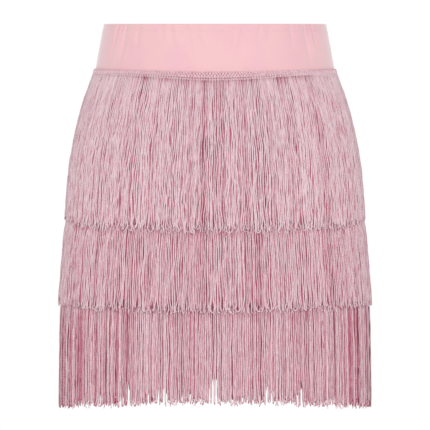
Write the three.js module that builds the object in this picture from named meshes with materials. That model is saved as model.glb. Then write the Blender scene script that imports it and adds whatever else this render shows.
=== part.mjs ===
// A hip-length dance skirt, in millimetres, +Z up, with its front towards -Y.
// A stretch waistband and a stretch skirt tube, each cut as a front and a back, carry three
// tiers of hanging fringe. The skirt keeps the round, hollow form that it has when worn.
// Every tier is a narrow heading tape with its yarn gathered into hanging locks.
// The origin is the middle of the waist, half way down the waistband, where the wearer holds it.
import * as THREE from "three";

// Levels are drops, measured down from the waistband's top edge.
const GRIP_DROP = 26; // the level of the origin
const SEAM_BELOW_HEADING = 5; // the waist seam lies behind the upper heading tape
const HEM_DROP = 385; // the cloth tube's hem, under the lower fringe
const GIRTH_DROP = 250; // where the locks are spaced evenly round the hips
const CLOTH = 1.2; // thickness of the stretch cloth
const SEAM_GAP = 0.3; // between two pieces at a seam
const HALF_GIRTH = 450; // about, from one side seam to the other
const LOCK_THICKNESS = 2.1;
const TIP_THICKNESS = 1.4;
const HEADING_HEIGHT = 10;
const LOCKS_PER_HALF = 40; // on the front or the back of one tier
const LOCK_SHARE = 0.95; // of the spacing that a lock's root fills
const WAIST_COLUMNS = 56;
const WAIST_ROWS = [0, 0.2, 0.45, 0.7, 1]; // as shares of the waistband's height

// How the hanging locks differ from one to the next.
const RIPPLE_COUNT = 9; // slow waves round the half girth, in the fringe's ends
const RIPPLE_DEPTH = 0.35;
const LOCK_LIFT = 0.15; // the most that one lock's end stands further off than another's
const SWING_SHARE = 0.7; // of the gap between two roots that an end may swing to either side
const LEAST_TAPER = 0.05; // share of its width that a lock loses on its way down
const TAPER_SPREAD = 0.1;

// The cloth's outer face: half width at the sides, and depth to the front and to the back.
const SECTIONS = [
  { drop: 0, side: 130, front: 86, back: 91 },
  { drop: 23, side: 134.3, front: 89.5, back: 94.5 },
  { drop: 42, side: 137.8, front: 92, back: 97.5 },
  { drop: 57, side: 140.5, front: 94.5, back: 100.5 },
  { drop: 85, side: 150, front: 100.5, back: 108.5 },
  { drop: 113, side: 157.3, front: 105, back: 114.5 },
  { drop: 142, side: 162.3, front: 108.5, back: 119.5 },
  { drop: 170, side: 166.8, front: 111.3, back: 123.5 },
  { drop: 237, side: 172, front: 115, back: 128 },
  { drop: 330, side: 179, front: 118.5, back: 131 },
  { drop: 385, side: 180.5, front: 119.5, back: 131.5 },
  { drop: 449, side: 181, front: 120, back: 131.5 },
];

// Soft creases pressed into the waistband, in degrees round from the front centre.
// lean is how far a crease runs round on its way down.
const WAIST_CREASES = [
  { angle: -57, lean: -6, depth: 1.5, width: 3.6 },
  { angle: 57, lean: 6, depth: 1.5, width: 3.6 },
  { angle: -38, lean: -3, depth: 0.7, width: 3 },
  { angle: 38, lean: 3, depth: 0.7, width: 3 },
  { angle: -21, lean: 4, depth: 0.6, width: 2.6 },
  { angle: 21, lean: -4, depth: 0.6, width: 2.6 },
  { angle: 0, lean: 1, depth: 0.5, width: 3 },
  { angle: -118, lean: 5, depth: 1.3, width: 4 },
  { angle: 121, lean: -5, depth: 1.3, width: 4 },
  { angle: -148, lean: 3, depth: 0.7, width: 3 },
  { angle: 152, lean: -2, depth: 0.8, width: 3 },
  { angle: 178, lean: -2, depth: 0.5, width: 3 },
];

// The tiers, from the top. Each row is a level at the sides, how much lower the same level is
// at the front and back centre, and how far the fringe's inner face stands off the cloth.
// The first row is the heading's top edge, and the second is where the locks leave it.
const TIERS = [
  {
    name: "upper",
    ragged: 2,
    rows: [
      { drop: 52.3, sag: 3.2, off: 0.5 },
      { drop: 52.3 + HEADING_HEIGHT, sag: 3.2, off: 0.5 },
      { drop: 85, sag: 3.4, off: 0.8 },
      { drop: 113, sag: 3.5, off: 1.6 },
      { drop: 142, sag: 3.6, off: 3 },
      { drop: 170, sag: 3.8, off: 3 },
      { drop: 236, sag: 4.4, off: 3.2 },
    ],
  },
  {
    name: "middle",
    ragged: 2,
    rows: [
      { drop: 146, sag: 3, off: 0.5 },
      { drop: 146 + HEADING_HEIGHT, sag: 3, off: 0.5 },
      { drop: 170, sag: 3, off: 0.5 },
      { drop: 237, sag: 2.8, off: 0.5 },
      { drop: 259, sag: 2.6, off: 3 },
      { drop: 330, sag: 2.4, off: 3.4 },
    ],
  },
  {
    name: "lower",
    ragged: 4,
    rows: [
      { drop: 263.5, sag: 2, off: 0.5 },
      { drop: 263.5 + HEADING_HEIGHT, sag: 2, off: 0.5 },
      { drop: 330, sag: -1, off: 0.5 },
      { drop: 385, sag: -5, off: 0.5 },
      { drop: 446, sag: -10.5, off: 0.8 },
    ],
  },
];

const FRONT = { name: "front", middle: 0 };
const BACK = { name: "back", middle: Math.PI };

const clothMaterial = new THREE.MeshStandardMaterial({
  color: 0xf6c7ca,
  roughness: 0.72,
  metalness: 0,
});
const fringeMaterial = new THREE.MeshStandardMaterial({
  color: 0xd2a3ad,
  roughness: 0.5,
  metalness: 0,
});

// A repeatable scatter between 0 and 1.
function scatter(seed) {
  const wave = Math.sin(seed * 127.1 + 311.7) * 43758.5453;
  return wave - Math.floor(wave);
}

// A column of a table at any level, on a smooth curve through its rows.
function smoothColumn(rows, level, column) {
  const last = rows.length - 1;
  let i = 0;
  while (i < last - 1 && level > rows[i + 1].drop) i += 1;
  const slope = (j) => {
    const before = rows[Math.max(j - 1, 0)];
    const after = rows[Math.min(j + 1, last)];
    return (after[column] - before[column]) / (after.drop - before.drop);
  };
  const span = rows[i + 1].drop - rows[i].drop;
  const t = THREE.MathUtils.clamp((level - rows[i].drop) / span, 0, 1);
  const rise = rows[i + 1][column] - rows[i][column];
  const bendIn = slope(i) * span - rise;
  const bendOut = rise - slope(i + 1) * span;
  return rows[i][column] + t * rise + t * (1 - t) * ((1 - t) * bendIn + t * bendOut);
}

// A point on the cloth's outer face, moved out along the section's own normal.
// angle is 0 at the front centre and grows towards +X.
function bodyPoint(angle, drop, out) {
  const side = smoothColumn(SECTIONS, drop, "side");
  const depth = smoothColumn(SECTIONS, drop, Math.cos(angle) >= 0 ? "front" : "back");
  const normal = new THREE.Vector2(Math.sin(angle) / side, -Math.cos(angle) / depth);
  normal.normalize();
  return new THREE.Vector3(
    side * Math.sin(angle) + out * normal.x,
    -depth * Math.cos(angle) + out * normal.y,
    GRIP_DROP - drop,
  );
}

// Angles spaced evenly in girth over one half of the body, from one side seam to the other.
function anglesOver(half, shares) {
  const steps = 360;
  const lengths = [0];
  let before = bodyPoint(half.middle - Math.PI / 2, GIRTH_DROP, 0);
  for (let i = 1; i <= steps; i += 1) {
    const angle = half.middle - Math.PI / 2 + (Math.PI * i) / steps;
    const here = bodyPoint(angle, GIRTH_DROP, 0);
    lengths.push(lengths[i - 1] + here.distanceTo(before));
    before = here;
  }
  return shares.map((share) => {
    const wanted = share * lengths[steps];
    let i = 0;
    while (i < steps - 1 && lengths[i + 1] < wanted) i += 1;
    const part = (wanted - lengths[i]) / (lengths[i + 1] - lengths[i]);
    return half.middle - Math.PI / 2 + (Math.PI * (i + part)) / steps;
  });
}

function evenShares(count, margin) {
  return Array.from({ length: count + 1 }, (_, i) => margin + ((1 - 2 * margin) * i) / count);
}

// How much lower a level hangs at this angle than at the sides.
function sagAt(angle, sag) {
  return sag * Math.cos(angle) ** 2;
}

function waistSeamDrop(angle) {
  const heading = TIERS[0].rows[0];
  return heading.drop + sagAt(angle, heading.sag) + SEAM_BELOW_HEADING;
}

function creaseDepth(angle, share) {
  const fade = 1 - THREE.MathUtils.smoothstep(share, 0.45, 0.85);
  return WAIST_CREASES.reduce((sum, crease) => {
    const centre = crease.angle + crease.lean * share;
    let away = THREE.MathUtils.radToDeg(angle) - centre;
    away -= 360 * Math.round(away / 360);
    return sum + crease.depth * fade * Math.exp(-((away / crease.width) ** 2));
  }, 0);
}

// Collects points and faces, and closes them into one geometry.
class Faces {
  constructor() {
    this.positions = [];
    this.index = [];
  }
  point(vector) {
    this.positions.push(vector.x, vector.y, vector.z);
    return this.positions.length / 3 - 1;
  }
  quad(a, b, c, d) {
    this.index.push(a, b, c, a, c, d);
  }
  // The two faces of a wall between two columns and two rows of outer and inner points.
  wallCell(left, right, leftBelow, rightBelow) {
    this.quad(left.outer, leftBelow.outer, rightBelow.outer, right.outer);
    this.quad(left.inner, right.inner, rightBelow.inner, leftBelow.inner);
  }
  rimAbove(left, right) {
    this.quad(left.outer, right.outer, right.inner, left.inner);
  }
  rimBelow(left, right) {
    this.quad(left.inner, right.inner, right.outer, left.outer);
  }
  rimAtStart(above, below) {
    this.quad(above.outer, above.inner, below.inner, below.outer);
  }
  rimAtEnd(above, below) {
    this.quad(above.outer, below.outer, below.inner, above.inner);
  }
  geometry() {
    const made = new THREE.BufferGeometry();
    made.setAttribute("position", new THREE.Float32BufferAttribute(this.positions, 3));
    made.setIndex(this.index);
    made.computeVertexNormals();
    return made;
  }
}

// A closed wall of cloth. outerAt and innerAt give a point for each column and row.
function clothPanel(columns, rows, outerAt, innerAt) {
  const faces = new Faces();
  const grid = columns.map((column) =>
    rows.map((row) => ({
      outer: faces.point(outerAt(column, row)),
      inner: faces.point(innerAt(column, row)),
    })),
  );
  const lastColumn = columns.length - 1;
  const lastRow = rows.length - 1;
  for (let c = 0; c < lastColumn; c += 1) {
    for (let r = 0; r < lastRow; r += 1) {
      faces.wallCell(grid[c][r], grid[c + 1][r], grid[c][r + 1], grid[c + 1][r + 1]);
    }
    faces.rimAbove(grid[c][0], grid[c + 1][0]);
    faces.rimBelow(grid[c][lastRow], grid[c + 1][lastRow]);
  }
  for (let r = 0; r < lastRow; r += 1) {
    faces.rimAtStart(grid[0][r], grid[0][r + 1]);
    faces.rimAtEnd(grid[lastColumn][r], grid[lastColumn][r + 1]);
  }
  return faces.geometry();
}

const seamMargin = SEAM_GAP / 2 / HALF_GIRTH; // half a seam gap, as a share of the half girth

function waistbandPanel(half) {
  const columns = anglesOver(half, evenShares(WAIST_COLUMNS, seamMargin));
  const pointAt = (angle, share, out) => {
    const drop = share * (waistSeamDrop(angle) - SEAM_GAP / 2);
    return bodyPoint(angle, drop, out - creaseDepth(angle, share));
  };
  return clothPanel(
    columns,
    WAIST_ROWS,
    (angle, share) => pointAt(angle, share, 0),
    (angle, share) => pointAt(angle, share, -CLOTH),
  );
}

function skirtPanel(half) {
  const columns = anglesOver(half, evenShares(LOCKS_PER_HALF / 2, seamMargin));
  const between = SECTIONS.map((section) => section.drop).filter(
    (drop) => drop > waistSeamDrop(0) && drop < HEM_DROP,
  );
  const rows = ["seam", ...between, HEM_DROP];
  const dropAt = (angle, row) => (row === "seam" ? waistSeamDrop(angle) + SEAM_GAP / 2 : row);
  return clothPanel(
    columns,
    rows,
    (angle, row) => bodyPoint(angle, dropAt(angle, row), 0),
    (angle, row) => bodyPoint(angle, dropAt(angle, row), -CLOTH),
  );
}

// One side of a lock: its root angle, and how it closes in and swings on its way down.
function lockColumn(angle, centre, swing, taper) {
  return (down) => centre + (angle - centre) * (1 - taper * down) + swing * down ** 2;
}

// A heading tape with its row of locks, as one closed body like a comb.
function fringeTier(half, tier, tierNumber) {
  const faces = new Faces();
  const edges = [];
  for (let i = 0; i < LOCKS_PER_HALF; i += 1) {
    edges.push((i + (1 - LOCK_SHARE) / 2) / LOCKS_PER_HALF);
    edges.push((i + (1 + LOCK_SHARE) / 2) / LOCKS_PER_HALF);
  }
  const roots = anglesOver(half, edges);
  const first = tier.rows[1].drop;
  const last = tier.rows[tier.rows.length - 1].drop;

  const columnPoints = (angleAt, extra, seed) =>
    tier.rows.map((row) => {
      const down = Math.max((row.drop - first) / (last - first), 0);
      const angle = angleAt(down);
      const drop = row.drop + sagAt(angle, row.sag) + extra * down ** 3;
      const ripple = RIPPLE_DEPTH * down * Math.sin(RIPPLE_COUNT * 2 * angle + tierNumber);
      const off = row.off + Math.max(ripple, 0) + LOCK_LIFT * down * scatter(seed);
      const thickness = THREE.MathUtils.lerp(LOCK_THICKNESS, TIP_THICKNESS, down ** 2);
      return {
        outer: faces.point(bodyPoint(angle, drop, off + thickness)),
        inner: faces.point(bodyPoint(angle, drop, off)),
      };
    });

  let before = null;
  for (let i = 0; i < LOCKS_PER_HALF; i += 1) {
    const left = roots[2 * i];
    const right = roots[2 * i + 1];
    const centre = (left + right) / 2;
    const seed = 100 * tierNumber + i + (half === BACK ? 50 : 0);
    const spare = (roots[1] - roots[0]) * (1 / LOCK_SHARE - 1);
    const swing = spare * SWING_SHARE * (2 * scatter(seed) - 1);
    const taper = LEAST_TAPER + TAPER_SPREAD * scatter(seed + 7);
    const extra = tier.ragged * (2 * scatter(seed + 3) - 1);
    const leftColumn = columnPoints(lockColumn(left, centre, swing, taper), extra, seed);
    const rightColumn = columnPoints(lockColumn(right, centre, swing, taper), extra, seed);

    faces.rimAbove(leftColumn[0], rightColumn[0]);
    for (let r = 0; r < tier.rows.length - 1; r += 1) {
      faces.wallCell(leftColumn[r], rightColumn[r], leftColumn[r + 1], rightColumn[r + 1]);
      if (r > 0 || i === 0) faces.rimAtStart(leftColumn[r], leftColumn[r + 1]);
      if (r > 0 || i === LOCKS_PER_HALF - 1) faces.rimAtEnd(rightColumn[r], rightColumn[r + 1]);
    }
    const tip = tier.rows.length - 1;
    faces.rimBelow(leftColumn[tip], rightColumn[tip]);
    if (before) {
      faces.rimAbove(before[0], leftColumn[0]);
      faces.wallCell(before[0], leftColumn[0], before[1], leftColumn[1]);
      faces.rimBelow(before[1], leftColumn[1]);
    }
    before = rightColumn;
  }
  return faces.geometry();
}

function addPiece(group, name, geometry, material) {
  const mesh = new THREE.Mesh(geometry, material);
  mesh.name = name;
  group.add(mesh);
}

const skirt = new THREE.Group();
for (const half of [FRONT, BACK]) {
  addPiece(skirt, `waistband_${half.name}`, waistbandPanel(half), clothMaterial);
  addPiece(skirt, `skirt_${half.name}`, skirtPanel(half), clothMaterial);
  TIERS.forEach((tier, number) => {
    addPiece(skirt, `fringe_${tier.name}_${half.name}`, fringeTier(half, tier, number), fringeMaterial);
  });
}

export default skirt;
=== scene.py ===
import math

import bmesh
import bpy
import numpy as np
from mathutils import Matrix, Vector


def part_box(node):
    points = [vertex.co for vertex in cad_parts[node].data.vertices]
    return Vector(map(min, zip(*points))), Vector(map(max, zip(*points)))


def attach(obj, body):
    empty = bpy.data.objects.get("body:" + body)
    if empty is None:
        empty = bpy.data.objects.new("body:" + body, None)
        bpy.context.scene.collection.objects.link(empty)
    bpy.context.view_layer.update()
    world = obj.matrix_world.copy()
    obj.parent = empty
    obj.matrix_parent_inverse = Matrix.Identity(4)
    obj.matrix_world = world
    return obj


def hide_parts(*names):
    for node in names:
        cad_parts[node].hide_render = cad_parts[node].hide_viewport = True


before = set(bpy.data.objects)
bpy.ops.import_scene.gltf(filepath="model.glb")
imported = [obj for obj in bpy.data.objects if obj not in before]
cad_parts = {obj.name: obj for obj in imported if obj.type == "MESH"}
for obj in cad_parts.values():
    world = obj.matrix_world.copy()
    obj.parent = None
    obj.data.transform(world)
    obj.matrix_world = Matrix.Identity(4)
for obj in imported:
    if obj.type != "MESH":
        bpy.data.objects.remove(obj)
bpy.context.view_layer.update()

bl_info = {
    "name": "Fringed dance skirt",
    "version": (1, 0, 0),
    "blender": (4, 5, 0),
    "location": "3D View > Sidebar > Skirt",
    "description": "Makes a worn, hollow dance skirt with three tiers of hanging yarn fringe",
    "category": "Add Mesh",
}

MM = 0.001
GOLDEN_SHARE = 0.618  # spreads the plies' phases over neighbouring yarns
SEAM_SHARE = 0.0004  # of a half's girth, left free beside each side seam
TAPE_YARN = 0.48 * MM  # half the thickness of the yarns that the heading tapes are knitted from
PARTING_PITCH = 1.45 * MM  # a tier has one long gap for each of these of its height
PARTING_REACH = 2.8 * MM  # how far beside a gap its push on the strands dies out
MOST_PARTING = 1.5 * MM  # the furthest that gaps push a strand aside
SLIT_OPENING = 4 * MM  # height over which a hem slit comes to its full width
DRIFT_WAVES = 12  # how many slow waves the strands of a tier hang in

# A yarn's tint_and_shade is how deep its colour is, random tone and painted shade together: 0 is
# its own colour, and 1 is near its grooves' colour.
DARKENS_FROM = 1.25
DARKEST_TINT = 1.8

# Numbers that give some random draws a stream of their own.
HEADING_DRAWS = 10
LOCK_DRAWS = 50
SMEAR_DRAWS = 51
SPECK_DRAWS = 52

# Angles run round the waist: 0 is the front centre, and they grow towards +X.
# Drops run down from the waistband's top edge.
FRONT = {"name": "front", "middle": 0.0}
BACK = {"name": "back", "middle": math.pi}
HALVES = (FRONT, BACK)
TOP_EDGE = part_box("waistband_front")[1].z
GIRTH_DROP = 250 * MM  # where the strands are spaced evenly round the hips
HIDDEN_SEAM = 5 * MM  # the waist seam lies this far below the upper heading's top edge

# The cloth's outer face in millimetres: drop, half width, depth to the front, depth to the back.
SECTION_NAMES = ("drop", "side", "front", "back")
SECTIONS = np.array([
    (0, 130, 86, 91),
    (23, 134.3, 89.5, 94.5),
    (42, 137.8, 92, 97.5),
    (57, 140.5, 94.5, 100.5),
    (85, 150, 100.5, 108.5),
    (113, 157.3, 105, 114.5),
    (142, 162.3, 108.5, 119.5),
    (170, 166.8, 111.3, 123.5),
    (237, 172, 115, 128),
    (330, 179, 118.5, 131),
    (385, 180.5, 119.5, 131.5),
    (449, 181, 120, 131.5),
]) * MM

# Soft creases in the waistband: angle and lean in degrees, depth in millimetres, width in
# degrees, and the share of the band's height where the crease has died out. A ridge has a
# negative depth.
CREASES = (
    (-58.4, -5, 2.1, 1.6, 0.85),
    (58.4, 5, 2.1, 1.6, 0.85),
    (-56.4, -2.5, -1.1, 1.2, 1.0),
    (56.4, 2.5, -1.1, 1.2, 1.0),
    (-55.2, -1, 1.9, 0.7, 0.25),
    (55.2, 1, 1.9, 0.7, 0.25),
    (-51.6, -1.5, 1.8, 1.4, 0.95),
    (51.8, 1.5, 1.8, 1.4, 0.9),
    (-42, 0, 0.9, 1.4, 0.65),
    (41.6, 0, 0.9, 1.4, 0.6),
    (-28.8, 7, 0.8, 1.1, 0.4),
    (29, -7, 0.8, 1.1, 0.4),
    (-23.6, 7, 1.1, 1.2, 0.6),
    (23.8, -7, 1.1, 1.2, 0.6),
    (-15, 7, 1.3, 1.2, 0.7),
    (15.2, -7, 1.3, 1.2, 0.7),
    (-9.5, 6, 1.1, 1.1, 0.65),
    (9.4, -6, 1.1, 1.1, 0.6),
    (-118, 5, 1.4, 4, 0.75),
    (121, -5, 1.4, 4, 0.75),
    (-134, 3, 0.5, 2, 0.4),
    (-148, 3, 0.8, 3, 0.6),
    (152, -2, 0.8, 3, 0.6),
    (164, 2, 0.4, 1.8, 0.4),
    (178, -2, 0.5, 3, 0.55),
)

# The tiers. A pair is the value at the centre and at the sides.
#   above: the tier that covers this one's top
#   seen_from: drop where its strands begin to show
#   ragged: how unevenly the strands end
#   side_lift: how much higher they end right at the sides
#   swells: how much sooner they stand off the cloth there
#   segments: the fewest that a strand has
#   lively: how much the strands wave and drift
#   tint_and_shade: how deep the colour is; how it changes towards the sides is painted light and
#       shade
#   locks, tone: how much that differs from lock to lock, and from strand to strand
#   gap_length: the shortest and longest half length of a gap between two locks
#   gap_width: how wide the gaps are, as a share of the widest
#   end_gaps: how many small gaps there are just above the strands' ends
#   inner_short: how much of the inner layers' shortness counts
#   inner_parts: how much of a gap goes through all the layers
#   rows: in millimetres, drop at the sides, how much lower that is at the front and back centre,
#     and how far the fringe's inner face stands off the cloth. The first two hold the heading.
TIERS = {
    "upper": {
        "above": None,
        "seen_from": 62.3 * MM,
        "ragged": 2.0 * MM,
        "side_lift": 8.0 * MM,
        "swells": 0.0,
        "segments": 6,
        "lively": 1.0,
        "tint_and_shade": (0.0, -0.06),
        "locks": (0.05, 0.1),
        "tone": (0.18, 0.18),
        "gap_length": (6 * MM, 24 * MM),
        "gap_width": (1.0, 1.8),
        "end_gaps": 200,
        "inner_short": 1.0,
        "inner_parts": 0.0,
        "rows": np.array([
            (52.3, 3.2, 0.5),
            (62.3, 3.2, 0.5),
            (85, 3.4, 0.8),
            (113, 3.5, 1.6),
            (142, 3.6, 3),
            (170, 3.8, 3),
            (236, 4.4, 3.2),
        ]) * MM,
    },
    "middle": {
        "above": "upper",
        "seen_from": 226 * MM,
        "ragged": 1.7 * MM,
        "side_lift": 2.0 * MM,
        "swells": 12.0 * MM,
        "segments": 6,
        "lively": 0.75,
        "tint_and_shade": (0.13, 0.14),
        "locks": (0.04, 0.12),
        "tone": (0.11, 0.2),
        "gap_length": (6 * MM, 20 * MM),
        "gap_width": (0.38, 1.18),
        "end_gaps": 200,
        "inner_short": 1.0,
        "inner_parts": 0.0,
        "rows": np.array([
            (146, 3, 0.5),
            (156, 3, 0.5),
            (170, 3, 0.5),
            (230, 2.8, 0.5),
            (248, 2.7, 2.4),
            (259, 2.6, 3),
            (330, 2.4, 3.4),
        ]) * MM,
    },
    "lower": {
        "above": "middle",
        "seen_from": 325 * MM,
        "ragged": 3.2 * MM,
        "side_lift": 0.0,
        "swells": 0.0,
        "segments": 12,
        "lively": 0.5,
        "tint_and_shade": (0.13, 0.41),
        "locks": (0.04, 0.2),
        "tone": (0.1, 0.9),
        "gap_length": (10 * MM, 40 * MM),
        "gap_width": (0.7, 2.6),
        "end_gaps": 40,
        "inner_short": 0.5,
        "inner_parts": 0.9,
        "rows": np.array([
            (263.5, 2, 0.5),
            (273.5, 2, 0.5),
            (330, -1, 0.5),
            (385, -5, 0.5),
            (446.8, -11.3, 0.8),
        ]) * MM,
    },
}

# Where strands part all the way through at the front hem: millimetres across from the centre,
# drop where the slit opens, and its width.
HEM_SLITS = (
    (-98.9, 412, 2.4),
    (-64.6, 421, 1.8),
    (-58.3, 416, 2.0),
    (-6.3, 415, 1.3),
    (-2.5, 406, 1.8),
    (1.3, 406, 1.8),
    (58.9, 416, 2.0),
    (64.6, 421, 1.8),
    (98.9, 412, 2.4),
)

# The back parts too, so that light comes through: how much further out, as a share, and how many
# millimetres lower.
BACK_SLITS = {"spread": 1.05, "lower": 20}

# The layers of strands in a tier, from the cloth outwards: strands in each half, their thickness
# as a share of a yarn's, segments of a strand, how far the layer stands from the tier's inner
# face, how much shorter it is than the outer one, how freely it waves and curls, and how deep
# its colour is, which on the inner layers is painted shade between the strands.
LAYERS = (
    {"count": 280, "thick": 1.15, "segments": 6, "lift": 0.3 * MM, "short": 7.0 * MM,
     "sway": 0.0, "tint_and_shade": 1.1},
    {"count": 190, "thick": 1.0, "segments": 24, "lift": 0.8 * MM, "short": 3.5 * MM,
     "sway": 0.8, "tint_and_shade": 0.5},
    {"count": 200, "thick": 1.0, "segments": 36, "lift": 1.35 * MM, "short": 0.0,
     "sway": 1.0, "tint_and_shade": 0.04},
)


class SkirtSizes(bpy.types.PropertyGroup):
    """Sizes of the cloth pieces."""

    cloth: bpy.props.FloatProperty(
        name="Cloth", description="Thickness of the stretch jersey",
        default=1.2 * MM, min=0.5 * MM, max=3 * MM, unit="LENGTH",
    )
    seam_gap: bpy.props.FloatProperty(
        name="Seam gap", description="Space between two pieces at a seam",
        default=0.3 * MM, min=0.0, max=1 * MM, unit="LENGTH",
    )
    hem_drop: bpy.props.FloatProperty(
        name="Hem", description="From the waistband's top edge down to the tube's hem",
        default=TOP_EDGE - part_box("skirt_front")[0].z, min=0.2, max=0.5, unit="LENGTH",
    )
    hem_fold: bpy.props.FloatProperty(
        name="Hem fold", description="Height of the tube's turned-up hem",
        default=20 * MM, min=5 * MM, max=40 * MM, unit="LENGTH",
    )
    casing: bpy.props.FloatProperty(
        name="Casing", description="From the waistband's top edge down to its lower stitch line",
        default=7.4 * MM, min=1 * MM, max=30 * MM, unit="LENGTH",
    )
    worn_stretch: bpy.props.FloatProperty(
        name="Worn stretch", description="How much wider the cloth is worn than it was cut",
        default=1.06, min=1.0, max=1.4, subtype="FACTOR",
    )


class FringeSizes(bpy.types.PropertyGroup):
    """Sizes of the fringe's yarns and heading tapes."""

    strand: bpy.props.FloatProperty(
        name="Strand", description="Diameter of one hanging yarn",
        default=1.6 * MM, min=0.8 * MM, max=4 * MM, unit="LENGTH",
    )
    heading: bpy.props.FloatProperty(
        name="Heading", description="Height of the knitted heading tape",
        default=10 * MM, min=5 * MM, max=20 * MM, unit="LENGTH",
    )
    stitch_pitch: bpy.props.FloatProperty(
        name="Stitch pitch", description="Length of one chain stitch along the heading",
        default=3.0 * MM, min=1 * MM, max=6 * MM, unit="LENGTH",
    )
    parting: bpy.props.FloatProperty(
        name="Parting", description="Widest gap between two locks of strands",
        default=2.0 * MM, min=0.0, max=6 * MM, unit="LENGTH",
    )
    curl: bpy.props.FloatProperty(
        name="Curl", description="Length at each strand's end that springs sideways",
        default=8 * MM, min=0.0, max=30 * MM, unit="LENGTH",
    )
    seed: bpy.props.IntProperty(
        name="Seed", description="Changes how the strands fall", default=7, min=0,
    )


class SkirtColours(bpy.types.PropertyGroup):
    """Colours of the cloth, the yarn and the stage."""

    jersey: bpy.props.FloatVectorProperty(
        name="Jersey", description="The waistband's salmon pink",
        default=(0.86, 0.52, 0.545), min=0, max=1, subtype="COLOR",
    )
    jersey_cool: bpy.props.FloatVectorProperty(
        name="Jersey, cooler", description="The cooler pink that the jersey has in soft patches",
        default=(0.83, 0.47, 0.55), min=0, max=1, subtype="COLOR",
    )
    yarn: bpy.props.FloatVectorProperty(
        name="Yarn", description="The fringe's dusty pink",
        default=(0.87, 0.70, 0.74), min=0, max=1, subtype="COLOR",
    )
    # Partly the tapes' own pink and partly painted light: a lighter copy of the yarn's pink.
    heading: bpy.props.FloatVectorProperty(
        name="Heading", description="The heading tapes' brighter pink",
        default=(0.99, 0.765, 0.81), min=0, max=1, subtype="COLOR",
    )
    # Painted shade: the deep crimson mixed in down the plies' grooves, on the inner layers and
    # under the headings and tiers; random tone leans towards it too.
    yarn_deep_and_shade: bpy.props.FloatVectorProperty(
        name="Yarn groove", description="The yarn's colour down between its plies",
        default=(0.52, 0.105, 0.18), min=0, max=1, subtype="COLOR",
    )
    # Painted shade: the near-black crimson of the deepest yarns, standing in for the shade in the
    # gaps between the locks.
    painted_gap_shade: bpy.props.FloatVectorProperty(
        name="Darkest yarn", description="The colour of the deepest yarns, between the locks",
        default=(0.17, 0.035, 0.07), min=0, max=1, subtype="COLOR",
    )
    floor: bpy.props.FloatVectorProperty(
        name="Floor", description="The plain floor's pale colour",
        default=(0.86, 0.86, 0.86), min=0, max=1, subtype="COLOR",
    )


class StageSettings(bpy.types.PropertyGroup):
    """The camera, the lights and the floor."""

    view_width: bpy.props.FloatProperty(
        name="View width", description="Width that the camera sees at the skirt's middle",
        default=0.5031, min=0.1, max=2, unit="LENGTH",
    )
    distance: bpy.props.FloatProperty(
        name="Distance", description="From the camera to the skirt's middle",
        default=5.2, min=1, max=20, unit="LENGTH",
    )
    eye_level: bpy.props.FloatProperty(
        name="Eye level", description="Height of the camera above the origin",
        default=0.02, min=-2, max=2, unit="LENGTH",
    )
    aim_level: bpy.props.FloatProperty(
        name="Aim level", description="Height of the picture's middle at the skirt",
        default=-0.1975, min=-1, max=1, unit="LENGTH",
    )
    floor_level: bpy.props.FloatProperty(
        name="Floor level", description="Height of the floor under the hanging skirt",
        default=-0.95, min=-2, max=-0.45, unit="LENGTH",
    )
    walls: bpy.props.FloatProperty(
        name="Walls", description="Brightness of the white room's walls",
        default=1.02, min=0, max=3,
    )
    ceiling: bpy.props.FloatProperty(
        name="Ceiling", description="Brightness of the room overhead",
        default=0.75, min=0, max=3,
    )
    side_walls: bpy.props.FloatProperty(
        name="Side walls", description="Share of the walls' brightness to the left and right",
        default=0.75, min=0, max=2, subtype="FACTOR",
    )
    key: bpy.props.FloatProperty(
        name="Key light", description="Power of the soft light in front",
        default=15.2, min=0, max=500, unit="POWER",
    )


# The body's form

def smooth_column(table, level, column):
    """A column of a table at any level, on a smooth curve through its rows."""
    level = np.asarray(level, float)
    drops, values = table[:, 0], table[:, column]
    last = len(drops) - 1
    row = np.clip(np.searchsorted(drops, level) - 1, 0, last - 1)

    def slope(at):
        before, after = np.maximum(at - 1, 0), np.minimum(at + 1, last)
        return (values[after] - values[before]) / (drops[after] - drops[before])

    span = drops[row + 1] - drops[row]
    t = np.clip((level - drops[row]) / span, 0, 1)
    rise = values[row + 1] - values[row]
    bend_in = slope(row) * span - rise
    bend_out = rise - slope(row + 1) * span
    return values[row] + t * rise + t * (1 - t) * ((1 - t) * bend_in + t * bend_out)


def section(angle, drop):
    """Half width, and depth on the side that the angle is on."""
    side = smooth_column(SECTIONS, drop, SECTION_NAMES.index("side"))
    front = smooth_column(SECTIONS, drop, SECTION_NAMES.index("front"))
    back = smooth_column(SECTIONS, drop, SECTION_NAMES.index("back"))
    return side, np.where(np.cos(angle) >= 0, front, back)


def outward(angle, drop):
    """The level normal of the body's form, as arrays of points."""
    side, depth = section(angle, drop)
    x, y = np.sin(angle) / side, -np.cos(angle) / depth
    size = np.hypot(x, y)
    return np.stack([x / size, y / size, np.zeros_like(size)], axis=-1)


def body_point(angle, drop, out):
    """Points on the cloth's outer face, moved out along its level normal."""
    angle, drop, out = np.broadcast_arrays(angle, drop, out)
    side, depth = section(angle, drop)
    flat = np.stack([side * np.sin(angle), -depth * np.cos(angle), TOP_EDGE - drop], axis=-1)
    return flat + outward(angle, drop) * out[..., None]


def girth_speed(angle, drop):
    """How far a point moves round the body for each radian."""
    side, depth = section(angle, drop)
    return np.hypot(side * np.cos(angle), depth * np.sin(angle))


def even_angles(half, shares):
    """Angles spaced evenly in girth, from one side seam to the other."""
    steps = np.linspace(-math.pi / 2, math.pi / 2, 721) + half["middle"]
    points = body_point(steps, GIRTH_DROP, 0.0)
    lengths = np.concatenate([[0], np.cumsum(np.linalg.norm(np.diff(points, axis=0), axis=1))])
    return np.interp(np.asarray(shares) * lengths[-1], lengths, steps)


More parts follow.
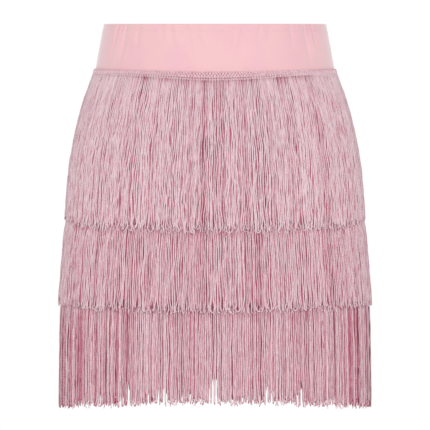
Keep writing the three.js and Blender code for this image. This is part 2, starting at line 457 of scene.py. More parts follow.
def clear_of_seams(half, shares):
    """Angles spaced evenly in girth, that stop just short of both side seams."""
    return even_angles(half, SEAM_SHARE + (1 - 2 * SEAM_SHARE) * shares)


def half_girth(half, drop):
    """Length round one half of the body at one level."""
    steps = np.linspace(-math.pi / 2, math.pi / 2, 361) + half["middle"]
    return float(np.linalg.norm(np.diff(body_point(steps, drop, 0.0), axis=0), axis=1).sum())


def sideness(angle, power=3):
    """From 0 at the front and back centre to 1 at the sides, nearer to them with more power."""
    return np.abs(np.sin(angle)) ** power


def sag(angle, amount):
    """How much lower a level hangs at this angle than at the sides."""
    return amount * np.cos(angle) ** 2


def heading_top(tier, angle):
    """Drop of the top edge of a tier's heading."""
    top, lower = TIERS[tier]["rows"][0, :2]
    return top + sag(angle, lower)


def tier_end(tier, angle):
    """Drop where a tier's strands end."""
    end, lower = TIERS[tier]["rows"][-1, :2]
    return end + sag(angle, lower) - TIERS[tier]["side_lift"] * sideness(angle, 16)


def tape_height(tier, angle, heading):
    """Height of the heading that shows. The upper one is narrower beside the middle."""
    if tier != "upper":
        return heading + 0 * angle
    return heading * (0.72 + 0.2 * np.cos(4 * angle))


def waist_seam(angle):
    """Drop of the seam between the waistband and the tube."""
    return heading_top("upper", angle) + HIDDEN_SEAM


def smooth_step(value, low, high):
    """From 0 at low to 1 at high."""
    t = np.clip((value - low) / (high - low), 0, 1)
    return t * t * (3 - 2 * t)


def fading(value, low, high):
    """From 1 at low to 0 at high."""
    return 1 - smooth_step(value, low, high)


def hump(value, middle, width):
    """1 at the middle, dying out on both sides."""
    return np.exp(-(((value - middle) / width) ** 2))


def across_pair(pair, to_side):
    """Between a pair's value at the centre and its value at the sides."""
    centre, side = pair
    return centre + (side - centre) * to_side


# Meshes

def add_object(name, mesh):
    made = bpy.data.objects.new(name, mesh)
    bpy.context.scene.collection.objects.link(made)
    return made


def finish_piece(piece, slot, material, *nodes):
    """Gives a piece its finish and its body, and hides the CAD nodes that it stands for."""
    piece.data.materials.clear()
    piece.data.materials.append(material)
    piece.data.shade_smooth()
    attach(piece, "root")
    if nodes:
        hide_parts(*nodes)


def new_form():
    """An empty bmesh with the UV map that cloth and yarns share."""
    made = bmesh.new()
    made.loops.layers.uv.new("UVMap")
    return made


def as_mesh(made, name):
    """Turns a bmesh into a mesh of this name."""
    mesh = bpy.data.meshes.new(name)
    made.to_mesh(mesh)
    made.free()
    return mesh


def coordinates(mesh):
    flat = np.empty(len(mesh.vertices) * 3)
    mesh.vertices.foreach_get("co", flat)
    return flat.reshape(-1, 3)


def move_points(mesh, points):
    mesh.vertices.foreach_set("co", np.ascontiguousarray(points, float).ravel())
    mesh.update()


def set_point_values(mesh, name, values):
    """Keeps one number for each point, for the material to read."""
    attribute = mesh.attributes.new(name, "FLOAT", "POINT")
    attribute.data.foreach_set("value", np.ascontiguousarray(values, np.float32).ravel())


def tip_dense(shares):
    """Levels along a strand, closer together over its last stretch, which curls."""
    return np.interp(shares, (0, 0.8, 1), (0, 0.93, 1))


def evenly(shares):
    return shares


def tube_template(name, segments, sides, spacing):
    """A tube from level 0 to 1 with a ring at each level, as a bmesh cylinder cut across."""
    made = new_form()
    bmesh.ops.create_cone(
        made, cap_ends=True, cap_tris=False, segments=sides, radius1=1, radius2=1, depth=1,
        matrix=Matrix.Translation((0, 0, 0.5)), calc_uvs=True,
    )
    for level in spacing(np.arange(1, segments) / segments):
        bmesh.ops.bisect_plane(
            made, geom=made.verts[:] + made.edges[:] + made.faces[:],
            plane_co=(0, 0, level), plane_no=(0, 0, 1),
        )
    return as_mesh(made, name)


def joined_copies(template, count):
    """One mesh of many copies of the template, made by an Array modifier."""
    maker = add_object(template.name + "_array", template)
    array = maker.modifiers.new("copies", "ARRAY")
    array.count = count
    array.use_relative_offset = False
    evaluated = maker.evaluated_get(bpy.context.evaluated_depsgraph_get())
    mesh = bpy.data.meshes.new_from_object(evaluated)
    bpy.data.objects.remove(maker)
    return mesh


def tubes_along(name, paths, radius, out, sides, spacing, tint_and_shade):
    """Tubes along many centre lines, joined in one mesh.

    paths has the points of each line, radius a number for each point, and out the direction
    that the first corner of a tube faces. tint is a number for each line or for each point."""
    count, levels = paths.shape[:2]
    template = tube_template(name, levels - 1, sides, spacing)
    corner = coordinates(template)
    shares = spacing(np.linspace(0, 1, levels))
    row = np.abs(corner[:, 2:3] - shares[None, :]).argmin(axis=1)
    mesh = joined_copies(template, count)
    bpy.data.meshes.remove(template)

    ahead = np.gradient(paths, axis=1)
    ahead /= np.linalg.norm(ahead, axis=2, keepdims=True)
    first = out - (out * ahead).sum(axis=2, keepdims=True) * ahead
    first /= np.linalg.norm(first, axis=2, keepdims=True)
    second = np.cross(ahead, first)
    across = corner[None, :, 0:1] * first[:, row] + corner[None, :, 1:2] * second[:, row]
    move_points(mesh, paths[:, row] + across * radius[:, row, None])
    along = np.broadcast_to(np.reshape(tint_and_shade, (count, -1)), (count, levels))
    set_point_values(mesh, "tint_and_shade", along[:, row])
    set_point_values(mesh, "phase", np.repeat(np.arange(count) * GOLDEN_SHARE % 1, len(corner)))
    mesh.name = name
    return mesh


def join_meshes(name, meshes):
    """Joins meshes that share their layers into one object."""
    made = bmesh.new()
    for mesh in meshes:
        made.from_mesh(mesh)
        bpy.data.meshes.remove(mesh)
    return add_object(name, as_mesh(made, name))


def cloth_sheet(name, columns, rows, place, cloth):
    """A grid wrapped round the body, given its thickness inwards. Returns the object and area."""
    made = new_form()
    bmesh.ops.create_grid(made, x_segments=columns, y_segments=rows, size=0.5, calc_uvs=True)
    mesh = as_mesh(made, name)
    flat = coordinates(mesh)
    move_points(mesh, place(flat[:, 0] + 0.5, 0.5 - flat[:, 1]))
    check = bmesh.new()
    check.from_mesh(mesh)
    area = sum(face.calc_area() for face in check.faces)
    check.free()
    piece = add_object(name, mesh)
    wall = piece.modifiers.new("wall", "SOLIDIFY")
    wall.thickness = cloth
    wall.offset = -1
    return piece, area


# Materials

class Nodes:
    """A short way to add shader nodes and link them."""

    def __init__(self, name):
        self.material = bpy.data.materials.new(name)
        self.material.use_nodes = True
        self.tree = self.material.node_tree
        self.shader = self.tree.nodes["Principled BSDF"]

    def add(self, kind, **values):
        node = self.tree.nodes.new(kind)
        for key, value in values.items():
            setattr(node, key, value)
        return node

    def link(self, source, target):
        self.tree.links.new(source, target)

    def maths(self, operation, first, second=None):
        node = self.add("ShaderNodeMath", operation=operation)
        for socket, value in zip(node.inputs, (first, second)):
            if isinstance(value, bpy.types.NodeSocket):
                self.link(value, socket)
            elif value is not None:
                socket.default_value = value
        return node.outputs[0]

    def waves(self, value, number):
        """A sine with this number of waves for each unit of the value."""
        return self.maths("SINE", self.maths("MULTIPLY", value, 2 * math.pi * number))

    def mix(self, share, first, second):
        node = self.add("ShaderNodeMix", data_type="RGBA")
        inputs = (node.inputs[0], node.inputs[6], node.inputs[7])
        for socket, value in zip(inputs, (share, first, second)):
            if isinstance(value, bpy.types.NodeSocket):
                self.link(value, socket)
            else:
                socket.default_value = value
        return node.outputs[2]

    def noise(self, scale, detail=2.0, vector=None):
        node = self.add("ShaderNodeTexNoise")
        node.inputs["Scale"].default_value = scale
        node.inputs["Detail"].default_value = detail
        if vector is not None:
            self.link(vector, node.inputs["Vector"])
        return node.outputs["Fac"]

    def ramp(self, value, low, high, most):
        """From 0 at low to most at high."""
        node = self.add("ShaderNodeMapRange")
        self.link(value, node.inputs["Value"])
        for name, number in (("From Min", low), ("From Max", high), ("To Max", most)):
            node.inputs[name].default_value = number
        return node.outputs["Result"]

    def bump(self, height, strength, distance, normal=None):
        node = self.add("ShaderNodeBump")
        node.inputs["Strength"].default_value = strength
        node.inputs["Distance"].default_value = distance
        self.link(height, node.inputs["Height"])
        if normal is not None:
            self.link(normal, node.inputs["Normal"])
        return node.outputs["Normal"]


def with_alpha(colour):
    return (*colour, 1.0)


def shaded(colour, factor):
    return (*(channel * factor for channel in colour), 1.0)


def jersey_material():
    """Smooth stretch knit: fine wales and courses, a faint mottle and a soft sheen."""
    made = Nodes("stretch_jersey")
    colours = bpy.context.scene.skirt_colours
    position = made.add("ShaderNodeTexCoord").outputs["Object"]
    uv = made.add("ShaderNodeUVMap", uv_map="UVMap").outputs["UV"]
    parts = made.add("ShaderNodeSeparateXYZ")
    made.link(uv, parts.inputs[0])
    height = made.add("ShaderNodeSeparateXYZ")
    made.link(position, height.inputs[0])
    wales = made.waves(parts.outputs[0], number=420)
    courses = made.waves(height.outputs[2], number=1 / (0.7 * MM))
    knit = made.maths("ADD", wales, made.maths("MULTIPLY", courses, 0.6))
    mottle = made.noise(55.0, 3.0, position)
    tone = made.maths("ADD", made.maths("MULTIPLY", mottle, 0.16), -0.03)
    base = made.mix(tone, with_alpha(colours.jersey), shaded(colours.jersey, 0.8))
    patches = made.ramp(made.noise(26.0, 1.0, position), 0.45, 0.7, 0.6)
    base = made.mix(patches, base, with_alpha(colours.jersey_cool))
    made.link(base, made.shader.inputs["Base Color"])
    normal = made.bump(knit, 0.25, 0.08 * MM)
    normal = made.bump(made.noise(28.0, 2.0, position), 0.3, 0.8 * MM, normal)
    made.link(normal, made.shader.inputs["Normal"])
    made.shader.inputs["Roughness"].default_value = 0.72
    made.shader.inputs["Specular IOR Level"].default_value = 0.3
    made.shader.inputs["Sheen Weight"].default_value = 1.0
    made.shader.inputs["Sheen Roughness"].default_value = 0.5
    return made.material


def yarn_material(name, colour, turns, streaks, groove_shade_share):
    """Twisted satin yarn: slanting plies with painted shade in their grooves, deeper streaks that
    differ from yarn to yarn, and painted shade on the deepest yarns.
    """
    made = Nodes(name)
    colours = bpy.context.scene.skirt_colours
    uv = made.add("ShaderNodeUVMap", uv_map="UVMap").outputs["UV"]
    parts = made.add("ShaderNodeSeparateXYZ")
    made.link(uv, parts.inputs[0])
    tint_and_shade = made.add("ShaderNodeAttribute", attribute_name="tint_and_shade").outputs["Fac"]
    slant = made.maths("ADD", made.maths("MULTIPLY", parts.outputs[1], turns), parts.outputs[0])
    phase = made.add("ShaderNodeAttribute", attribute_name="phase").outputs["Fac"]
    slant = made.maths("ADD", slant, phase)
    plies = made.waves(slant, number=2)
    # Painted shade: the grooves between the plies are coloured deeper.
    groove_shade = made.maths("MULTIPLY", made.maths("SUBTRACT", 1.0, plies), 0.5)

    # The streaks run along the yarn, from another place in the noise for each.
    across = made.add("ShaderNodeCombineXYZ")
    made.link(made.maths("MULTIPLY", phase, 90.0), across.inputs[0])
    made.link(made.maths("MULTIPLY", parts.outputs[1], streaks), across.inputs[1])
    streak = made.maths("SUBTRACT", made.noise(1.0, 2.0, across.outputs[0]), 0.5)
    streak = made.maths("MULTIPLY", streak, 0.9)

    share = made.maths("ADD", made.maths("MULTIPLY", groove_shade, groove_shade_share), streak)
    share = made.maths("ADD", share, made.maths("MULTIPLY", tint_and_shade, 0.7))
    base = made.mix(share, with_alpha(colour), with_alpha(colours.yarn_deep_and_shade))
    # Painted shade: the deepest yarns darken towards the darkest colour.
    painted_gap_darkening = made.ramp(tint_and_shade, DARKENS_FROM, DARKEST_TINT, 0.85)
    base = made.mix(painted_gap_darkening, base, with_alpha(colours.painted_gap_shade))
    made.link(base, made.shader.inputs["Base Color"])
    made.link(made.bump(plies, 0.5, 0.15 * MM), made.shader.inputs["Normal"])
    made.shader.inputs["Roughness"].default_value = 0.42
    made.shader.inputs["Specular IOR Level"].default_value = 0.45
    return made.material


# The cloth pieces

def crease_depth(angle, share):
    """How deep the waistband's creases are, at a share of the band's height."""
    total = np.zeros(np.broadcast(angle, share).shape)
    for at, lean, depth, width, end in CREASES:
        away = np.degrees(angle) - (at + lean * share)
        away -= 360 * np.round(away / 360)
        total = total + depth * MM * fading(share, 0.45 * end, end) * hump(away, 0, width)
    return total


def seam_roll(half, angle):
    """How far the cloth turns in where it meets a side seam."""
    radius, reach, deepest = 150 * MM, 2 * MM, 0.7 * MM
    to_seam = (math.pi / 2 - np.abs(angle - half["middle"])) * radius
    return deepest * hump(to_seam, 0, reach)


class SKIRT_OT_waistband(bpy.types.Operator):
    """Makes the waistband's front and back, folded over at the top and softly creased"""

    bl_idname = "skirt.waistband"
    bl_label = "Waistband"

    def execute(self, context):
        sizes = context.scene.skirt_sizes
        material = jersey_material()
        for half in HALVES:
            def place(across, down):
                angle = clear_of_seams(half, across)
                share = down ** 1.5  # closer together towards the folded top edge
                drop = share * (waist_seam(angle) - sizes.seam_gap / 2)
                round_edge = 0.6 * MM * np.exp(-drop / (0.8 * MM))
                stitch_lines = (sizes.casing * 0.5, sizes.casing)
                grooves = sum(0.5 * MM * hump(drop, level, 0.7 * MM) for level in stitch_lines)
                inwards = crease_depth(angle, share) + seam_roll(half, angle) + round_edge
                return body_point(angle, drop, -grooves - inwards)

            name = "waistband_" + half["name"]
            piece, area = cloth_sheet(
                name + "_jersey", columns=260, rows=40, place=place, cloth=sizes.cloth)
            finish_piece(piece, "stretch_jersey", material, name)
            deepest = float(waist_seam(half["middle"]))
            cut = (half_girth(half, deepest) / sizes.worn_stretch, deepest)
        return {"FINISHED"}


class SKIRT_OT_tube(bpy.types.Operator):
    """Makes the front and back of the stretch tube that carries the fringe"""

    bl_idname = "skirt.tube"
    bl_label = "Skirt tube"

    def execute(self, context):
        sizes = context.scene.skirt_sizes
        material = bpy.data.materials["stretch_jersey"]
        for half in HALVES:
            def place(across, down):
                angle = clear_of_seams(half, across)
                top = waist_seam(angle) + sizes.seam_gap / 2
                drop = top + down * (sizes.hem_drop - top)
                ridge = 0.3 * MM * hump(sizes.hem_drop - drop, sizes.hem_fold, 1.2 * MM)
                return body_point(angle, drop, -ridge - seam_roll(half, angle))

            name = "skirt_" + half["name"]
            piece, area = cloth_sheet(
                name + "_jersey", columns=84, rows=84, place=place, cloth=sizes.cloth)
            finish_piece(piece, "stretch_jersey", material, name)
            cut = (half_girth(half, sizes.hem_drop) / sizes.worn_stretch,
                   sizes.hem_drop - float(waist_seam(half["middle"] + math.pi / 2)) + 10 * MM)
        return {"FINISHED"}


# The fringe

def stand_off(tier, drop):
    """How far the fringe's inner face stands off the cloth."""
    rows = TIERS[tier]["rows"]
    return np.interp(drop, rows[:, 0], rows[:, 2])


def partings(half, tier, random, widest):
    """Where strands part into locks: girth, middle drop, half length and width of each gap."""
    look = TIERS[tier]
    girth = half_girth(half, GIRTH_DROP)
    seen, end = look["seen_from"], look["rows"][-1, 0]
    found = []
    for _ in range(int((end - seen) / PARTING_PITCH)):
        at = random.uniform(0, girth)
        wide = widest * across_pair(look["gap_width"], abs(2 * at / girth - 1) ** 3)
        found.append((
            at,
            random.uniform(seen, end),
            random.uniform(*look["gap_length"]),
            wide * random.uniform(0.2, 1.0) ** 1.5,
        ))
    for _ in range(look["end_gaps"]):
        found.append((
            random.uniform(0, girth),
            end - random.uniform(1, 9) * MM,
            random.uniform(3, 6) * MM,
            widest * random.uniform(0.3, 1.0),
        ))
    return found


def drifting(random):
    """Slow waves in which neighbouring strands hang to one side together."""
    return [
        (
            2 * math.pi / random.uniform(14, 60) / MM * random.choice([-1, 1]),
            2 * math.pi / random.uniform(45, 130) / MM,
            random.uniform(0, 2 * math.pi),
            random.uniform(0.1, 0.3) * MM,
        )
        for _ in range(DRIFT_WAVES)
    ]


def drift_at(waves, girth, drop):
    """How far the slow waves move each point aside."""
    return sum(
        size * np.sin(round_wave * girth + down_wave * drop + phase)
        for round_wave, down_wave, phase, size in waves
    )


def part_strands(girth, drop, gaps):
    """How far each point of each strand is pushed aside by the gaps."""
    shift = np.zeros_like(drop)
    for at, middle, length, width in gaps:
        away = girth - at
        open_here = np.clip(1 - ((drop - middle) / length) ** 2, 0, 1)
        push = np.sign(away) * np.exp(-np.abs(away) / PARTING_REACH) * width / 2
        shift += push * open_here
    return np.clip(shift, -MOST_PARTING, MOST_PARTING)


def slits(half, tier, girths, angles):
    """The see-through slits at the hem, as gaps that stay open to the strands' ends."""
    if tier != "lower":
        return []
    found = []
    for across, top, width in HEM_SLITS:
        side = float(section(0.0, top * MM)[0])
        if half is FRONT:
            angle = math.asin(across * MM / side)
        else:
            angle = math.pi - math.asin(across * MM * BACK_SLITS["spread"] / side)
            top += BACK_SLITS["lower"]
        found.append((float(np.interp(angle, angles, girths)), top * MM, width * MM))
    return found


def hold_open(root, girth, drop, through, clearance):
    """Keeps the strands on their own side of each slit, clear of it by half a strand."""
    for at, top, width in through:
        open_here = smooth_step(drop, top, top + SLIT_OPENING)
        side = np.sign(root - at)
        least = np.where(open_here > 0, width / 2 * open_here + clearance, -1.0)
        girth = np.where(side * (girth - at) < least, at + side * least, girth)
    return girth


def spread_round(girth, values):
    """For each strand, a value between those that stand at even places round the half."""
    return np.interp(girth, np.linspace(0, girth.max(), len(values)), values)


def strand_lengths(tier, layer, girth, angle, sizes, random):
    """Drop where each strand starts, its length, and the length of its curled end."""
    look = TIERS[tier]
    root = heading_top(tier, angle) + 0.8 * tape_height(tier, angle, sizes.heading)
    teeth = spread_round(girth, random.uniform(-1, 1, 70))
    uneven = 0.45 * teeth + random.normal(0, 0.6, angle.shape)
    end = tier_end(tier, angle) + look["ragged"] * np.minimum(uneven, 0.7)
    cut_short = random.random(angle.shape) < 0.12
    end -= look["ragged"] * 2 * cut_short + layer["short"] * look["inner_short"]
    return root, end - root, sizes.curl * random.uniform(0.35, 0.9, angle.shape)


def sprung_ends(layer, along, length, curl, random):
    """How far each point gets down, aside and outwards, where the ends spring to one side."""
    one_each = length.shape
    bend = random.normal(0, 0.5, one_each) + np.sign(random.normal(0, 1, one_each)) * 0.3

    # About a quarter of the strands bend much more.
    strongly = random.uniform(0.8, 1.8, one_each) * (random.random(one_each) < 0.24)
    bend = (bend + np.sign(bend) * strongly) * layer["sway"]
    lean = bend * np.clip((along - length + curl) / curl, 0, 1) ** 1.5
    step = np.diff(along, axis=1, prepend=0)
    down = np.cumsum(step * np.cos(lean), axis=1)
    aside = np.cumsum(step * np.sin(lean), axis=1)
    outwards = np.cumsum(step * np.sin(np.abs(lean)) * random.uniform(0, 0.35, one_each), axis=1)
    return down, aside, outwards


def strand_tone_and_shade(tier, layer, girth, angle, drop, down, to_end, sizes, random):
    """How deep the colour is at each point of each strand: random tone, with painted light and
    shade.
    """
    look = TIERS[tier]
    to_side = sideness(angle)
    locks = np.random.default_rng([sizes.seed, LOCK_DRAWS]).normal(0, 1, 110)
    # Painted shade: the inner layers are coloured deeper, as shade between the strands. The
    # change towards the sides is painted light and shade.
    tint_and_shade = layer["tint_and_shade"] + across_pair(look["tint_and_shade"], to_side) + 0.12 * to_side ** 5
    tint_and_shade = tint_and_shade + random.normal(0, 1, angle.shape) * across_pair(look["tone"], to_side)
    tint_and_shade = tint_and_shade + spread_round(girth, locks) * across_pair(look["locks"], to_side)

    # Painted shade right below the heading: smears in random places, and a band part way round to
    # each side.
    painted_smears = np.random.default_rng([sizes.seed, SMEAR_DRAWS]).uniform(-0.4, 0.9, 40)
    painted_heading_shade = spread_round(girth, np.maximum(painted_smears, 0)) * (1 - to_side)
    painted_heading_shade = painted_heading_shade + 0.4 * hump(sideness(angle, 1), 0.59, 0.12)
    tint_and_shade = tint_and_shade + painted_heading_shade * fading(down, 3.5 * MM, 7.5 * MM)

    # Painted shade at the centre and painted light at the sides, where the strands come out from
    # under a tier.
    if look["above"]:
        covered = tier_end(look["above"], angle)
        tint_and_shade = tint_and_shade + (0.14 - 0.46 * to_side) * fading(drop, covered - 2 * MM, covered + 12 * MM)

    # Random specks over the ends, and painted light on the strands' tops at the sides.
    speckled = np.random.default_rng([sizes.seed, SPECK_DRAWS, layer["count"]])
    specks = speckled.normal(0.04, 0.5, drop.shape) * fading(to_end, 1 * MM, 9 * MM)
    tint_and_shade = np.clip(tint_and_shade + specks, 0, DARKEST_TINT)
    return tint_and_shade - 0.3 * to_side * fading(down, 4 * MM, 14 * MM)


def strand_layer(half, tier, layer, waves, gaps, through, sizes, random):
    """What tubes_along needs for one layer of strands. Each array has a row for each strand."""
    look, sway = TIERS[tier], layer["sway"]
    one_each = (layer["count"], 1)
    places = np.arange(layer["count"])[:, None] + 0.5 + random.uniform(-0.16, 0.16, one_each)
    shares = places / layer["count"]
    angle = even_angles(half, shares)
    girth = shares * half_girth(half, GIRTH_DROP)
    segments = max(layer["segments"], look["segments"])
    levels = tip_dense(np.linspace(0, 1, segments + 1))
    root, length, curl = strand_lengths(tier, layer, girth, angle, sizes, random)
    along = levels * length
    down, aside, outwards = sprung_ends(layer, along, length, curl, random)
    drop = root + down

    # Strands wave a little, mostly with their neighbours, and hang straight below the heading.
    wave = sway * look["lively"] * MM
    phase = random.uniform(0, 2 * math.pi, one_each)
    own = 0.3 * wave * np.sin(drop / random.uniform(6, 11, one_each) / MM + phase)
    own += 0.34 * wave * np.sin(drop / random.uniform(3, 4.6, one_each) / MM + 2 * phase)
    own += random.normal(0, 0.4, one_each) * MM * sway * levels
    together = drift_at(waves, girth, drop) * look["lively"] + part_strands(girth, drop, gaps)
    joins_in = max(look["inner_parts"], min(1, 2 * sway))
    freed = smooth_step(down, 4 * MM, 30 * MM)
    hangs = girth + (own + together * joins_in) * freed + aside
    shift = hold_open(girth, hangs, drop, through, sizes.strand / 2) - girth
    angles = angle + shift / girth_speed(angle, drop)

    # The layers stand off less at the sides, so the outline stays slim.
    front_on = np.cos(angle) ** 2
    fullness = 0.6 + 0.4 * front_on * smooth_step(down, 4 * MM, 20 * MM)
    sooner = look["swells"] * sideness(angle, 16)
    out = stand_off(tier, drop + sooner) + layer["lift"] * fullness
    out += 0.42 * wave * np.sin(drop / random.uniform(3.4, 6, one_each) / MM + 3 * phase) * freed
    out += outwards * (0.3 + 0.7 * front_on)
    width = sizes.strand * layer["thick"] * random.uniform(0.85, 1.1, one_each)
    radius = width / 2 * np.where(levels == 1, 0.6, 1.0)
    tint_and_shade = strand_tone_and_shade(tier, layer, girth, angle, drop, down, length - along, sizes, random)
    return body_point(angles, drop, out), radius, outward(angles, drop), 4, tip_dense, tint_and_shade


class SKIRT_OT_fringe(bpy.types.Operator):
    """Makes the hanging strands of the three tiers, front and back"""

    bl_idname = "skirt.fringe"
    bl_label = "Fringe"

    def execute(self, context):
        sizes = context.scene.skirt_fringe
        colour = context.scene.skirt_colours.yarn
        material = yarn_material("fringe_yarn", colour, turns=48, streaks=55, groove_shade_share=0.22)
        for order, tier in enumerate(TIERS):
            for half in HALVES:
                random = np.random.default_rng([sizes.seed, order, HALVES.index(half)])
                waves = drifting(random)
                gaps = partings(half, tier, random, sizes.parting)
                girths = np.linspace(0, half_girth(half, GIRTH_DROP), 400)
                through = slits(half, tier, girths, even_angles(half, np.linspace(0, 1, 400)))
                meshes = []
                for layer in LAYERS:
                    strands = strand_layer(half, tier, layer, waves, gaps, through, sizes, random)
                    meshes.append(tubes_along(f"{tier}_layer", *strands))
                name = f"fringe_{tier}_{half['name']}"
                piece = join_meshes(name + "_yarns", meshes)
                finish_piece(piece, "fringe_yarn", material, name)
        return {"FINISHED"}


def chain_drop(tier, share, angle, sizes):
    """Level of a chain of stitches, at a share of the heading's height."""
    level = heading_top(tier, angle) + share * tape_height(tier, angle, sizes.heading)
    return level - 0.4 * MM * (1 - share) * np.cos(2 * angle)


def tape_yarns(tier, around, drop, out, tint_and_shade):
    """What tubes_along needs for yarns of the heading tape, this far out from its inner face."""
    paths = body_point(around, drop, stand_off(tier, drop) + out)
    radius = np.full(paths.shape[:2], TAPE_YARN)
    return paths, radius, outward(around, drop), 4, evenly, np.clip(tint_and_shade, 0, 1)


def chain_stitches(half, tier, share, sizes, random):
    """One row of chain stitches along the heading, as bent tubes."""
    count = int(half_girth(half, TIERS[tier]["rows"][0, 0]) / sizes.stitch_pitch)
    angle = even_angles(half, (np.arange(count) + 0.5) / count)
    points = 8 if tier == "upper" else 6
    turn = np.linspace(-0.82, 0.82, points) * math.pi  # a loop that stays open at its back
    reach = 0.36 * sizes.stitch_pitch * np.cos(turn)
    rise = 0.6 * MM * np.sin(turn)
    lift = 0.4 * MM * np.cos(turn)
    start = chain_drop(tier, share, angle, sizes) + random.normal(0, 0.12, count) * MM
    drop = start[:, None] + rise[None, :]
    around = angle[:, None] + reach[None, :] / girth_speed(angle[:, None], drop)

    # Lower chains stand out further, and at the sides the top chain is coloured deeper as painted
    # shade.
    to_side = sideness(angle)
    out = np.interp(share, (0.1, 0.6, 0.8), (0.8, 1.3, 1.7)) * MM * (1 - 0.35 * to_side[:, None])
    tint_and_shade = random.normal(0.0, 0.1, count) + max(0.0, 0.8 - 3 * share) * to_side
    return tape_yarns(tier, around, drop, out + lift[None, :], tint_and_shade)


def zigzag_yarns(half, tier, top, bottom, pitch, sizes, random):
    """The yarns that cross from one chain to the next, leaning one way and then the other."""
    count = int(half_girth(half, TIERS[tier]["rows"][0, 0]) / pitch)
    angle = even_angles(half, (np.arange(count) + 0.5) / count)
    share = np.linspace(0, 1, 5)
    lean = np.where(np.arange(count) % 2 == 0, 1, -1) * pitch
    high = chain_drop(tier, top, angle, sizes)[:, None]
    low = chain_drop(tier, bottom, angle, sizes)[:, None]
    drop = high + (low - high) * share[None, :]
    aside = lean[:, None] * (share - 0.5)[None, :]
    around = angle[:, None] + aside / girth_speed(angle[:, None], drop)
    out = 1.1 * MM + 0.4 * MM * np.sin(share * math.pi)[None, :]
    return tape_yarns(tier, around, drop, out, random.normal(0.0, 0.15, count))


class SKIRT_OT_headings(bpy.types.Operator):
    """Makes the knitted heading tape of each tier, from chain stitches over crossing yarns"""

    bl_idname = "skirt.headings"
    bl_label = "Heading tapes"

    def execute(self, context):
        sizes = context.scene.skirt_fringe
        colour = context.scene.skirt_colours.heading
        material = yarn_material("heading_yarn", colour, turns=4, streaks=1, groove_shade_share=0.1)
        for order, tier in enumerate(TIERS):
            for half in HALVES:
                stream = [sizes.seed, HEADING_DRAWS + order, HALVES.index(half)]
                random = np.random.default_rng(stream)
                # Shares of the heading's height. The upper heading shows, and is knitted finer.
                if tier == "upper":
                    chains, top, bottom, pitch = (0.08, 0.62, 0.94), 0.1, 0.6, 0.62
                else:
                    chains, top, bottom, pitch = (0.1, 0.88), 0.1, 0.88, 1.0
                meshes = []
                for share in chains:
                    chain = chain_stitches(half, tier, share, sizes, random)
                    meshes.append(tubes_along("chain", *chain))
                pitch *= sizes.stitch_pitch
                zigzag = zigzag_yarns(half, tier, top, bottom, pitch, sizes, random)
                meshes.append(tubes_along("zigzag", *zigzag))
                meshes.append(self.ground(half, tier, sizes))
                piece = join_meshes(f"heading_{tier}_{half['name']}_tape", meshes)
                finish_piece(piece, "fringe_yarn", material, f"fringe_{tier}_{half['name']}")
        return {"FINISHED"}

    def ground(self, half, tier, sizes):
        """The tape's closed ground behind the stitches, bent from a long cube. Its deep colour is
        painted shade, lighter towards the sides.
        """
        made = new_form()
        bmesh.ops.create_cube(made, size=1, calc_uvs=True)
        long_edges = [e for e in made.edges if abs(e.verts[0].co.x - e.verts[1].co.x) > 0.5]
        bmesh.ops.subdivide_edges(made, edges=long_edges, cuts=119, use_grid_fill=True)
        mesh = as_mesh(made, "ground")
        flat = coordinates(mesh)
        angle = clear_of_seams(half, flat[:, 0] + 0.5)
        share = 0.48 + 0.96 * flat[:, 2]
        drop = heading_top(tier, angle) + share * tape_height(tier, angle, sizes.heading)
        out = stand_off(tier, drop) + 0.5 * MM + 0.8 * MM * flat[:, 1]
        move_points(mesh, body_point(angle, drop, out))
        # Painted shade: the ground is deep behind the stitches, and lighter towards the sides.
        set_point_values(mesh, "tint_and_shade", 1.05 - 0.7 * sideness(angle))
        set_point_values(mesh, "phase", np.zeros(len(flat)))
        return mesh


# The stage

def area_light(name, place, target, size, power):
    data = bpy.data.lights.new(name, "AREA")
    data.shape = "DISK"
    data.size = size
    data.energy = power
    light = add_object(name, data)
    light.location = place
    light.rotation_euler = (Vector(target) - Vector(place)).to_track_quat("-Z", "Y").to_euler()


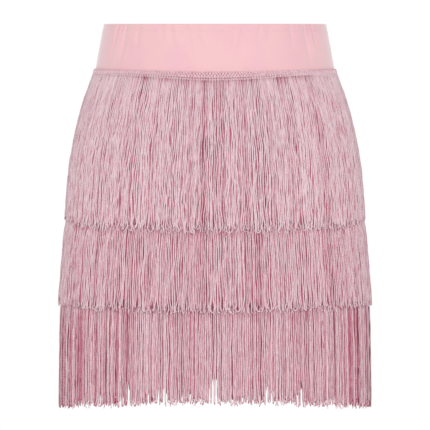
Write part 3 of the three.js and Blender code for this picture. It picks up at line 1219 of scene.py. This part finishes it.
class SKIRT_OT_stage(bpy.types.Operator):
    """Makes the plain floor, the soft lights and the camera"""

    bl_idname = "skirt.stage"
    bl_label = "Stage"

    def execute(self, context):
        stage = context.scene.skirt_stage
        made = bmesh.new()
        bmesh.ops.create_circle(made, cap_ends=True, segments=96, radius=3.0)
        mesh = as_mesh(made, "floor")
        flat = coordinates(mesh)
        flat[:, 2] = stage.floor_level
        move_points(mesh, flat)
        floor = add_object("floor", mesh)
        finish = Nodes("floor_paint")
        colour = context.scene.skirt_colours.floor
        finish.shader.inputs["Base Color"].default_value = with_alpha(colour)
        finish.shader.inputs["Roughness"].default_value = 0.8
        mesh.materials.append(finish.material)

        middle = (0, 0, stage.aim_level)
        area_light("key", (-0.4, -2.8, 0.25), middle, 1.1, stage.key)
        area_light("fill", (0.7, -2.8, 0.1), middle, 1.1, stage.key * 0.6)
        area_light("rear", (0.4, 2.9, 0.6), middle, 1.3, stage.key * 1.4)
        context.scene.world = self.white_room(stage)
        context.scene.view_settings.view_transform = "Standard"

        data = bpy.data.cameras.new("camera")
        data.sensor_width = 36
        place = Vector((0, -stage.distance, stage.eye_level))
        to_middle = Vector(middle) - place
        data.lens = data.sensor_width * to_middle.length / stage.view_width
        data.clip_end = 100
        camera = add_object("camera", data)
        camera.location = place
        camera.rotation_euler = to_middle.to_track_quat("-Z", "Y").to_euler()
        context.scene.camera = camera
        return {"FINISHED"}

    def white_room(self, stage):
        """White walls all round, with a dimmer ceiling so that the front lights give the form."""
        world = bpy.data.worlds.new("white_room")
        world.use_nodes = True
        nodes, link = world.node_tree.nodes, world.node_tree.links.new
        parts = nodes.new("ShaderNodeSeparateXYZ")
        link(nodes.new("ShaderNodeTexCoord").outputs["Generated"], parts.inputs[0])
        sideways = nodes.new("ShaderNodeMath")
        sideways.operation = "ABSOLUTE"
        link(parts.outputs[0], sideways.inputs[0])
        both = nodes.new("ShaderNodeMath")
        both.operation = "MULTIPLY"

        # How far up the ceiling begins and how far round the side walls do, and their brightness.
        for number, (value, low, high, first, last) in enumerate((
            (parts.outputs[2], 0.12, 0.35, stage.walls, stage.ceiling),
            (sideways.outputs[0], 0.3, 0.9, 1.0, stage.side_walls),
        )):
            ramp = nodes.new("ShaderNodeMapRange")
            ramp.interpolation_type = "SMOOTHSTEP"
            for name, amount in (("From Min", low), ("From Max", high),
                                 ("To Min", first), ("To Max", last)):
                ramp.inputs[name].default_value = amount
            link(value, ramp.inputs["Value"])
            link(ramp.outputs["Result"], both.inputs[number])
        background = nodes["Background"]
        background.inputs["Color"].default_value = (1, 1, 1, 1)
        link(both.outputs[0], background.inputs["Strength"])
        return world


class VIEW3D_PT_skirt(bpy.types.Panel):
    """The skirt's pieces and sizes in the sidebar."""

    bl_label = "Fringed dance skirt"
    bl_idname = "VIEW3D_PT_skirt"
    bl_space_type = "VIEW_3D"
    bl_region_type = "UI"
    bl_category = "Skirt"

    def draw(self, context):
        for maker in MAKERS:
            self.layout.operator(maker.bl_idname)
        for group in ("skirt_sizes", "skirt_fringe", "skirt_colours", "skirt_stage"):
            values = getattr(context.scene, group)
            box = self.layout.box()
            for name in values.bl_rna.properties.keys():
                if name not in {"rna_type", "name"}:
                    box.prop(values, name)


MAKERS = (SKIRT_OT_stage, SKIRT_OT_waistband, SKIRT_OT_fringe, SKIRT_OT_headings, SKIRT_OT_tube)
GROUPS = {
    "skirt_sizes": SkirtSizes,
    "skirt_fringe": FringeSizes,
    "skirt_colours": SkirtColours,
    "skirt_stage": StageSettings,
}


def register():
    for group in GROUPS.values():
        bpy.utils.register_class(group)
    for maker in (*MAKERS, VIEW3D_PT_skirt):
        bpy.utils.register_class(maker)
    for name, group in GROUPS.items():
        setattr(bpy.types.Scene, name, bpy.props.PointerProperty(type=group))


def unregister():
    for name in GROUPS:
        delattr(bpy.types.Scene, name)
    for maker in (VIEW3D_PT_skirt, *reversed(MAKERS)):
        bpy.utils.unregister_class(maker)
    for group in GROUPS.values():
        bpy.utils.unregister_class(group)


def main():
    register()
    bpy.ops.skirt.stage()
    bpy.ops.skirt.waistband()
    bpy.ops.skirt.fringe()
    bpy.ops.skirt.headings()
    bpy.ops.skirt.tube()


if __name__ == "__main__":
    main()
